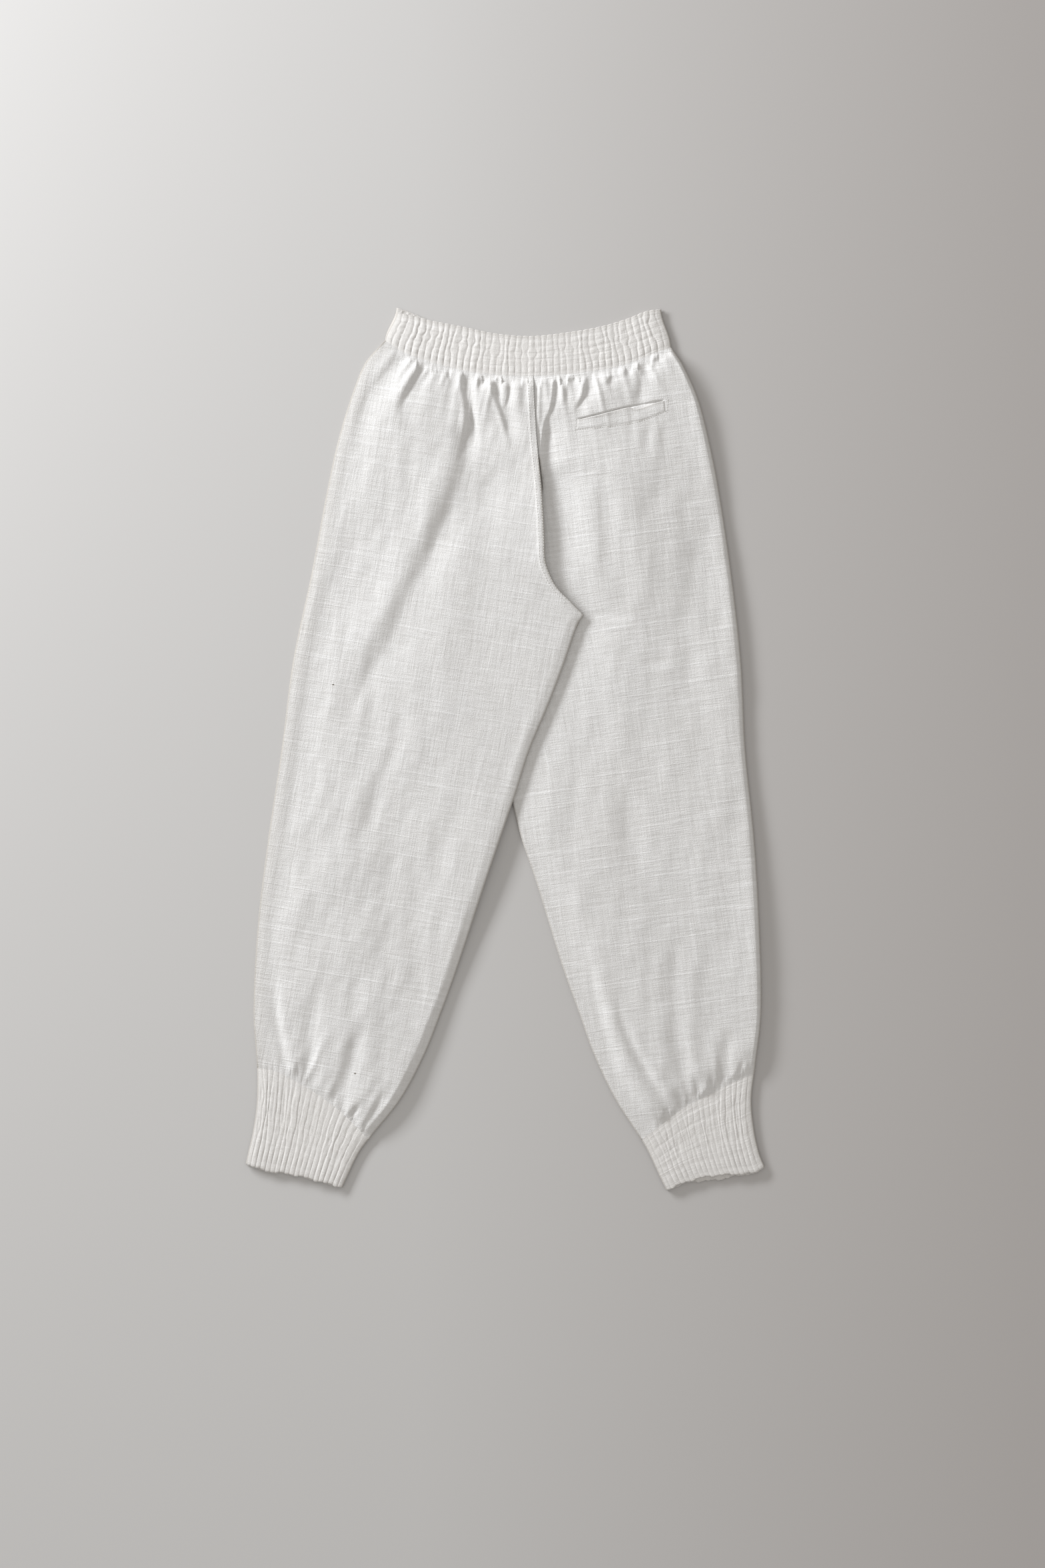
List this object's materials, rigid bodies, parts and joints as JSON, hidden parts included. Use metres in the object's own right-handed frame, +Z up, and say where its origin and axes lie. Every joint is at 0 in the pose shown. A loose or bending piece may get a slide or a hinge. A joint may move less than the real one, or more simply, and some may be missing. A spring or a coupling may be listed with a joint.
{
  "type": "elastic-waist trousers laid flat",
  "caption": "Off-white hand-woven elastic-waist trousers with shirred waistband and ankle cuffs and one back welt pocket, laid flat with the back uppermost",
  "frame": {"origin": "on the floor under the middle of the garment's outline", "axes": "+Z is up from the floor, +Y runs along the garment towards the waist, +X is to the viewer's right as the back is seen from above"},
  "size_m": [0.592, 1.0071, 0.0091],
  "materials": {
    "cloth": "off-white slubby plain-weave cotton, matt",
    "shirred_cloth": "the same off-white cotton gathered into narrow ribs by rows of elastic thread, matt"
  },
  "bodies": {
    "root": {"waistband_back": "shirred_cloth", "waistband_front": "shirred_cloth", "back_left": "cloth", "front_left": "cloth", "cuff_left_back": "shirred_cloth", "cuff_left_front": "shirred_cloth", "back_right": "cloth", "front_right": "cloth", "cuff_right_back": "shirred_cloth", "cuff_right_front": "shirred_cloth", "pocket_welt": "cloth"}
  },
  "joints": []
}
